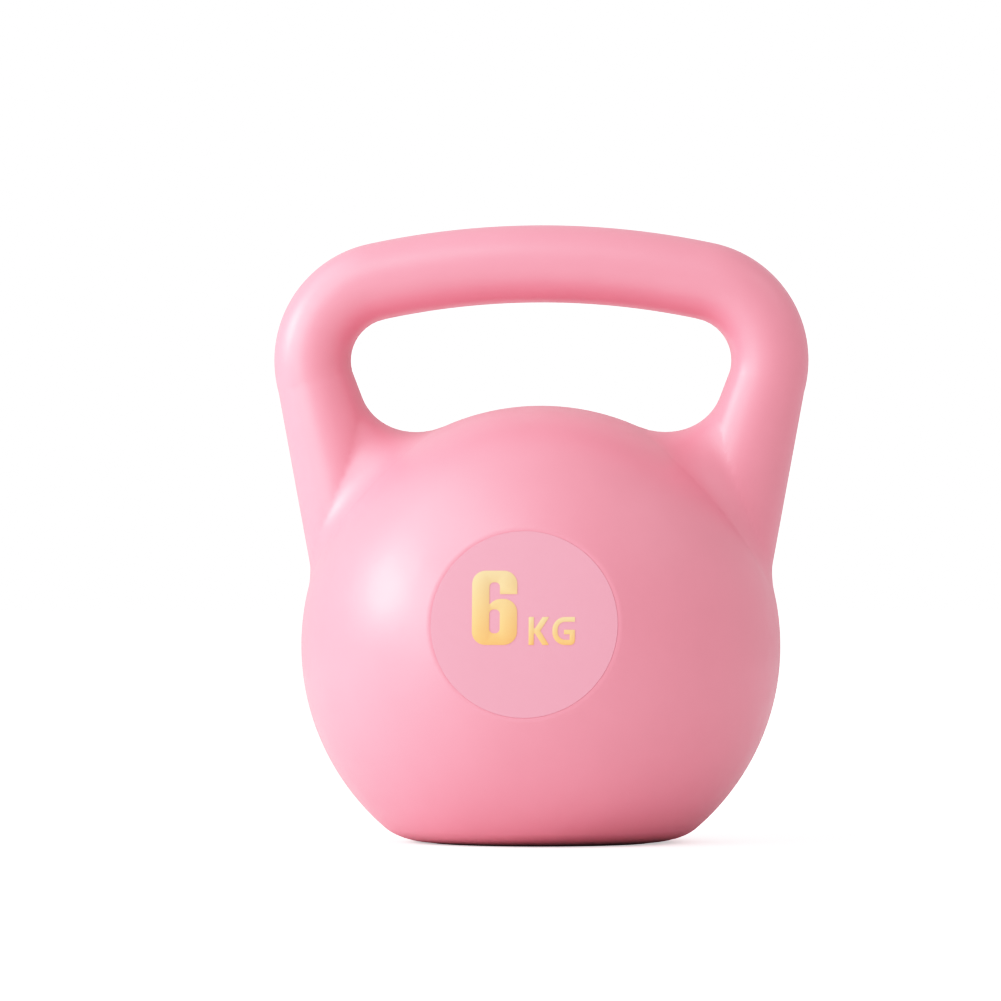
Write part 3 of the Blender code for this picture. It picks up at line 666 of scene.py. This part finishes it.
def make_letter_g(finish):
    left, right = G_LEFT, G_LEFT + G_WIDTH
    low, high = MARK_BASELINE, MARK_BASELINE + UNIT_HEIGHT
    inner_left, inner_right = left + UNIT_STROKE, right - UNIT_STROKE
    inner_low, lip = low + UNIT_STROKE, high - G_LIP
    inner_bend = G_BEND - UNIT_STROKE
    bar_left, bar_top = right - G_BAR_LENGTH, low + G_BAR_TOP
    bar_low = bar_top - G_BAR_THICKNESS
    outline = [(right, high, 0.0), (left, high, G_BEND), (left, low, G_BEND), (right, low, G_HEEL),
               (right, bar_top, 0.0), (bar_left, bar_top, 0.0), (bar_left, bar_low, 0.0),
               (inner_right, bar_low, 0.0), (inner_right, inner_low, 0.0),
               (inner_left, inner_low, inner_bend), (inner_left, lip, inner_bend),
               (right, lip, 0.0)]
    make_foil("foil_g", "letter_g", [rounded_outline(outline)], finish)


# ---------------------------------------------------------------- foot

def make_foot_pad(finish):
    """Rubber ring in the foot, with rounded edges and two tread grooves in its underside."""
    edge = RUBBER_EDGE
    profile = arc(PAD_INNER + edge, edge, edge, 180, 270)
    for radius in GROOVE_RADII:
        low, high = radius - GROOVE_WIDTH / 2, radius + GROOVE_WIDTH / 2
        profile += arc(low - edge / 2, edge / 2, edge / 2, 270, 360, GROOVE_STEPS)
        profile += arc(low + edge, GROOVE_DEPTH - edge / 2, edge / 2, 180, 90, GROOVE_STEPS)
        profile += arc(high - edge, GROOVE_DEPTH - edge / 2, edge / 2, 90, 0, GROOVE_STEPS)
        profile += arc(high + edge / 2, edge / 2, edge / 2, 180, 270, GROOVE_STEPS)
    profile += arc(PAD_OUTER - edge, edge, edge, 270, 360)
    profile += [(PAD_OUTER, PAD_THICKNESS), (PAD_INNER, PAD_THICKNESS)]
    pad = add_piece("foot_pad", turned("foot_pad", profile, PAD_SEGMENTS), finish)
    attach(pad, "root")
    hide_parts("base_pad")


def make_plug(finish):
    """Press-in plug: a round-edged flange, a hollow spigot with a barb, and a coin slot."""
    edge = RUBBER_EDGE
    shank, flange = HOLE_RADIUS - GAP, SEAT_RADIUS - GAP
    hollow = shank - PLUG_WALL
    neck = shank - edge
    profile = [(0.0, PLUG_FACE_Z)] + arc(flange - edge, PLUG_FACE_Z + edge, edge, 270, 360)
    profile += [(flange, PLUG_FACE_Z + PLUG_FLANGE), (neck, PLUG_FACE_Z + PLUG_FLANGE),
                (neck, PLUG_TOP_Z - 2 * PLUG_BARB), (shank, PLUG_TOP_Z - PLUG_BARB),
                (shank - PLUG_BARB, PLUG_TOP_Z), (hollow, PLUG_TOP_Z), (hollow, PLUG_FLOOR_Z),
                (0.0, PLUG_FLOOR_Z)]
    length, width, depth = SLOT_SIZE
    slot = block("coin_slot", (-length / 2, -width / 2, -OVERSHOOT),
                 (length / 2, width / 2, PLUG_FACE_Z + depth))
    mesh = cut_mesh(turned("base_plug", profile), slot)
    smooth(mesh)
    plug = add_piece("base_plug", mesh, finish)
    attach(plug, "root")
    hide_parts("fill_plug")


# ---------------------------------------------------------------- materials

def new_material(name, colour, roughness, metallic=0.0, specular=PLAIN_SPECULAR):
    """A plain Principled material; the colour is linear."""
    made = bpy.data.materials.new(name)
    made.use_nodes = True
    shader = made.node_tree.nodes["Principled BSDF"]
    shader.inputs["Base Color"].default_value = (*colour, 1.0)
    shader.inputs["Roughness"].default_value = roughness
    shader.inputs["Metallic"].default_value = metallic
    shader.inputs["Specular IOR Level"].default_value = specular
    return made


def noise(tree, scale, detail=3.0, stretch=(1.0, 1.0, 1.0)):
    """Noise in the piece's own coordinates, with about so many features to the metre."""
    place = tree.nodes.new("ShaderNodeTexCoord")
    mapping = tree.nodes.new("ShaderNodeMapping")
    mapping.inputs["Scale"].default_value = stretch
    grain = tree.nodes.new("ShaderNodeTexNoise")
    grain.inputs["Scale"].default_value = scale
    grain.inputs["Detail"].default_value = detail
    tree.links.new(place.outputs["Object"], mapping.inputs["Vector"])
    tree.links.new(mapping.outputs["Vector"], grain.inputs["Vector"])
    return grain.outputs["Fac"]


def spread(tree, value, low, high):
    """A noise's middle range, stretched from low to high."""
    ranged = tree.nodes.new("ShaderNodeMapRange")
    ranged.inputs["From Min"].default_value = NOISE_RANGE[0]
    ranged.inputs["From Max"].default_value = NOISE_RANGE[1]
    ranged.inputs["To Min"].default_value = low
    ranged.inputs["To Max"].default_value = high
    tree.links.new(value, ranged.inputs["Value"])
    return ranged.outputs["Result"]


def mixed_colour(tree, factor, first, second):
    mix = tree.nodes.new("ShaderNodeMix")
    mix.data_type = "RGBA"
    mix.inputs["A"].default_value = (*first, 1.0)
    mix.inputs["B"].default_value = (*second, 1.0)
    tree.links.new(factor, mix.inputs["Factor"])
    return mix.outputs["Result"]


def add_bumps(tree, layers):
    """Stack bump layers of (texture value, height in metres) under the shader's normal."""
    shader = tree.nodes["Principled BSDF"]
    normal = None
    for value, height in layers:
        bump = tree.nodes.new("ShaderNodeBump")
        bump.inputs["Distance"].default_value = height
        tree.links.new(value, bump.inputs["Height"])
        if normal is not None:
            tree.links.new(normal, bump.inputs["Normal"])
        normal = bump.outputs["Normal"]
    tree.links.new(normal, shader.inputs["Normal"])


def shaded(colour, factor):
    return tuple(channel * factor for channel in colour)


def moulded_plastic(name, colour, roughness, specular, mottle=0.012, peel=0.00004, grain=0.000012):
    """Moulded plastic: faint orange peel and a fine grain, slightly uneven in tone and gloss."""
    made = new_material(name, colour, roughness, specular=specular)
    tree = made.node_tree
    shader = tree.nodes["Principled BSDF"]
    cloud = spread(tree, noise(tree, 28.0), 0.0, 1.0)
    tone = mixed_colour(tree, cloud, shaded(colour, 1 - mottle), shaded(colour, 1 + mottle))
    tree.links.new(tone, shader.inputs["Base Color"])
    gloss = spread(tree, noise(tree, 70.0, 5.0), roughness - 0.03, roughness + 0.03)
    tree.links.new(gloss, shader.inputs["Roughness"])
    add_bumps(tree, [(noise(tree, 260.0, 2.0), peel), (noise(tree, 1900.0, 2.0), grain)])
    return made


def rubber(name, colour):
    """Matt rubber: a leathery grain, with paler dust in places."""
    made = new_material(name, colour, 0.78, specular=0.35)
    tree = made.node_tree
    shader = tree.nodes["Principled BSDF"]
    dust = spread(tree, noise(tree, 90.0, 6.0), 0.0, 1.0)
    tone = mixed_colour(tree, dust, colour, shaded(colour, 1.5))
    tree.links.new(tone, shader.inputs["Base Color"])
    tree.links.new(spread(tree, noise(tree, 400.0), 0.70, 0.86), shader.inputs["Roughness"])
    add_bumps(tree, [(noise(tree, 700.0, 4.0), 0.00008)])
    return made


def drawn_steel():
    """Dull drawn tube: fine scratches one way and a cloudy scale."""
    colour = (0.392, 0.402, 0.418)
    made = new_material("tube_steel", colour, 0.38, metallic=1.0)
    tree = made.node_tree
    shader = tree.nodes["Principled BSDF"]
    scale = spread(tree, noise(tree, 60.0, 6.0), 0.0, 1.0)
    tree.links.new(mixed_colour(tree, scale, shaded(colour, 0.75), colour), shader.inputs["Base Color"])
    scratches = noise(tree, 900.0, 2.0, (0.05, 1.0, 1.0))
    tree.links.new(spread(tree, scratches, 0.28, 0.50), shader.inputs["Roughness"])
    add_bumps(tree, [(scratches, 0.00003)])
    return made


def mortar():
    """Set mortar: grey paste with darker and paler grit, rough to the touch."""
    paste, grit = (0.235, 0.225, 0.205), (0.40, 0.385, 0.355)
    made = new_material("fill_mortar", paste, 0.92, specular=0.2)
    tree = made.node_tree
    shader = tree.nodes["Principled BSDF"]
    cells = tree.nodes.new("ShaderNodeTexVoronoi")
    cells.inputs["Scale"].default_value = 260.0
    place = tree.nodes.new("ShaderNodeTexCoord")
    tree.links.new(place.outputs["Object"], cells.inputs["Vector"])
    tone = mixed_colour(tree, spread(tree, noise(tree, 150.0, 8.0), 0.0, 1.0), paste, grit)
    tree.links.new(tone, shader.inputs["Base Color"])
    tree.links.new(spread(tree, noise(tree, 500.0), 0.86, 0.98), shader.inputs["Roughness"])
    add_bumps(tree, [(noise(tree, 220.0, 8.0), 0.0008), (cells.outputs["Distance"], 0.0004)])
    return made


def gold_foil():
    """Pale gold foil that deepens from the top of each mark to its foot."""
    made = new_material("gold_foil", FOIL_MIDDLE, 0.45, metallic=FOIL_METALLIC, specular=0.3)
    tree = made.node_tree
    shader = tree.nodes["Principled BSDF"]
    place = tree.nodes.new("ShaderNodeTexCoord")
    height = tree.nodes.new("ShaderNodeSeparateXYZ")
    ramp = tree.nodes.new("ShaderNodeValToRGB")
    ramp.color_ramp.elements[0].color = (*FOIL_FOOT, 1.0)
    ramp.color_ramp.elements[1].color = (*FOIL_TOP, 1.0)
    middle = ramp.color_ramp.elements.new(0.5)
    middle.color = (*FOIL_MIDDLE, 1.0)
    tree.links.new(place.outputs["Generated"], height.inputs["Vector"])
    tree.links.new(height.outputs["Z"], ramp.inputs["Fac"])
    tree.links.new(ramp.outputs["Color"], shader.inputs["Base Color"])
    tree.links.new(spread(tree, noise(tree, 800.0, 4.0), 0.40, 0.50), shader.inputs["Roughness"])
    add_bumps(tree, [(noise(tree, 1200.0, 3.0), 0.00001)])
    return made


def dress_inner_nodes():
    """Materials for the pieces inside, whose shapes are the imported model's own."""
    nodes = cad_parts
    steel = drawn_steel()
    caps = moulded_plastic("cap_plastic", CAP_COLOUR, CAP_ROUGHNESS, PLAIN_SPECULAR)
    finishes = {"fill_core": mortar(), "handle_tube": steel, "anchor_bar": steel,
                "tube_cap_left": caps, "tube_cap_right": caps,
                "plug_gasket": rubber("gasket_rubber", GASKET_COLOUR)}
    for node, finish in finishes.items():
        nodes[node].material_slots[0].material = finish


# ---------------------------------------------------------------- stage

def look_from(azimuth, elevation, distance, target):
    """A place on a sphere round the target; azimuth 0 is in front, on -Y, and grows towards +X."""
    turn, lift = math.radians(azimuth), math.radians(elevation)
    back = Vector((math.sin(turn) * math.cos(lift), -math.cos(turn) * math.cos(lift), math.sin(lift)))
    return target + back * distance


def make_camera():
    turn = math.radians(CAMERA_AZIMUTH)
    across = Vector((math.cos(turn), math.sin(turn), 0.0))
    data = bpy.data.cameras.new("camera")
    data.lens = CAMERA_LENS
    data.sensor_width = SENSOR_WIDTH
    data.clip_end = CAMERA_REACH
    camera = bpy.data.objects.new("camera", data)
    bpy.context.scene.collection.objects.link(camera)
    place = look_from(CAMERA_AZIMUTH, 0.0, CAMERA_DISTANCE, Vector((0.0, 0.0, CAMERA_Z)))
    camera.location = place - across * CAMERA_LEFT
    camera.rotation_euler = (math.pi / 2, 0.0, turn)
    bpy.context.scene.camera = camera


def make_floor():
    """Pale paper, lifted to the backdrop's white where it is seen, but not where it lights things."""
    bm = bmesh.new()
    bmesh.ops.create_circle(bm, cap_ends=True, segments=FLOOR_SEGMENTS, radius=FLOOR_RADIUS,
                            matrix=Matrix.Translation((0, 0, -FLOOR_DROP)))
    paper = new_material("floor_paper", FLOOR_COLOUR, 1.0, specular=0.0)
    shader = paper.node_tree.nodes["Principled BSDF"]
    shader.inputs["Emission Color"].default_value = (FLOOR_GLOW, FLOOR_GLOW, FLOOR_GLOW, 1.0)
    ray = paper.node_tree.nodes.new("ShaderNodeLightPath")
    paper.node_tree.links.new(ray.outputs["Is Camera Ray"], shader.inputs["Emission Strength"])
    floor = add_piece("floor", finish_bmesh(bm, "floor"), paper)


def add_area_light(name, azimuth, elevation, distance, size, power):
    data = bpy.data.lights.new(name, "AREA")
    data.shape = "DISK"
    data.size = size
    data.energy = power
    light = bpy.data.objects.new(name, data)
    bpy.context.scene.collection.objects.link(light)
    target = Vector((0.0, 0.0, LIGHT_TARGET_Z))
    light.location = look_from(azimuth, elevation, distance, target)
    light.rotation_euler = (light.location - target).to_track_quat("Z", "Y").to_euler()


def make_lights():
    """A white backdrop, an even surround that lights less than it shows, and softboxes."""
    world = bpy.data.worlds.new("studio")
    bpy.context.scene.world = world
    world.use_nodes = True
    tree = world.node_tree
    surround = tree.nodes["Background"]
    surround.inputs["Color"].default_value = (1.0, 1.0, 1.0, 1.0)
    surround.inputs["Strength"].default_value = SURROUND
    backdrop = tree.nodes.new("ShaderNodeBackground")
    backdrop.inputs["Color"].default_value = (1.0, 1.0, 1.0, 1.0)
    ray = tree.nodes.new("ShaderNodeLightPath")
    mix = tree.nodes.new("ShaderNodeMixShader")
    tree.links.new(ray.outputs["Is Camera Ray"], mix.inputs["Fac"])
    tree.links.new(surround.outputs["Background"], mix.inputs[1])
    tree.links.new(backdrop.outputs["Background"], mix.inputs[2])
    tree.links.new(mix.outputs["Shader"], tree.nodes["World Output"].inputs["Surface"])
    for name, azimuth, elevation, size, power in SOFTBOXES:
        add_area_light(name, azimuth, elevation, SOFTBOX_DISTANCE, size, power)


def set_response():
    """A camera's response: deeper shade and a soft shoulder below white."""
    view = bpy.context.scene.view_settings
    view.view_transform = "Standard"
    view.use_curve_mapping = True
    mapping = view.curve_mapping
    curve = mapping.curves[COMBINED_CURVE]
    for step in range(1, RESPONSE_STEPS):
        level = step / RESPONSE_STEPS
        curve.points.new(level, 1 - (1 - level ** RESPONSE_TOE) ** RESPONSE_SHOULDER)
    mapping.update()


def main():
    make_camera()
    pink = moulded_plastic("shell_plastic", SKIN_COLOUR, SKIN_ROUGHNESS, SKIN_SPECULAR)
    film = moulded_plastic("badge_film", FILM_COLOUR, FILM_ROUGHNESS, PLAIN_SPECULAR,
                           mottle=0.004, peel=0.00001)
    gold = gold_foil()
    make_skin(pink)
    make_parting_line(pink)
    make_badge(film)
    make_numeral(gold)
    make_letter_k(gold)
    make_letter_g(gold)
    make_foot_pad(rubber("pad_rubber", PAD_COLOUR))
    make_plug(moulded_plastic("plug_plastic", shaded(SKIN_COLOUR, PLUG_SHADE), PLUG_ROUGHNESS,
                              PLAIN_SPECULAR))
    dress_inner_nodes()
    make_floor()
    make_lights()
    set_response()


main()
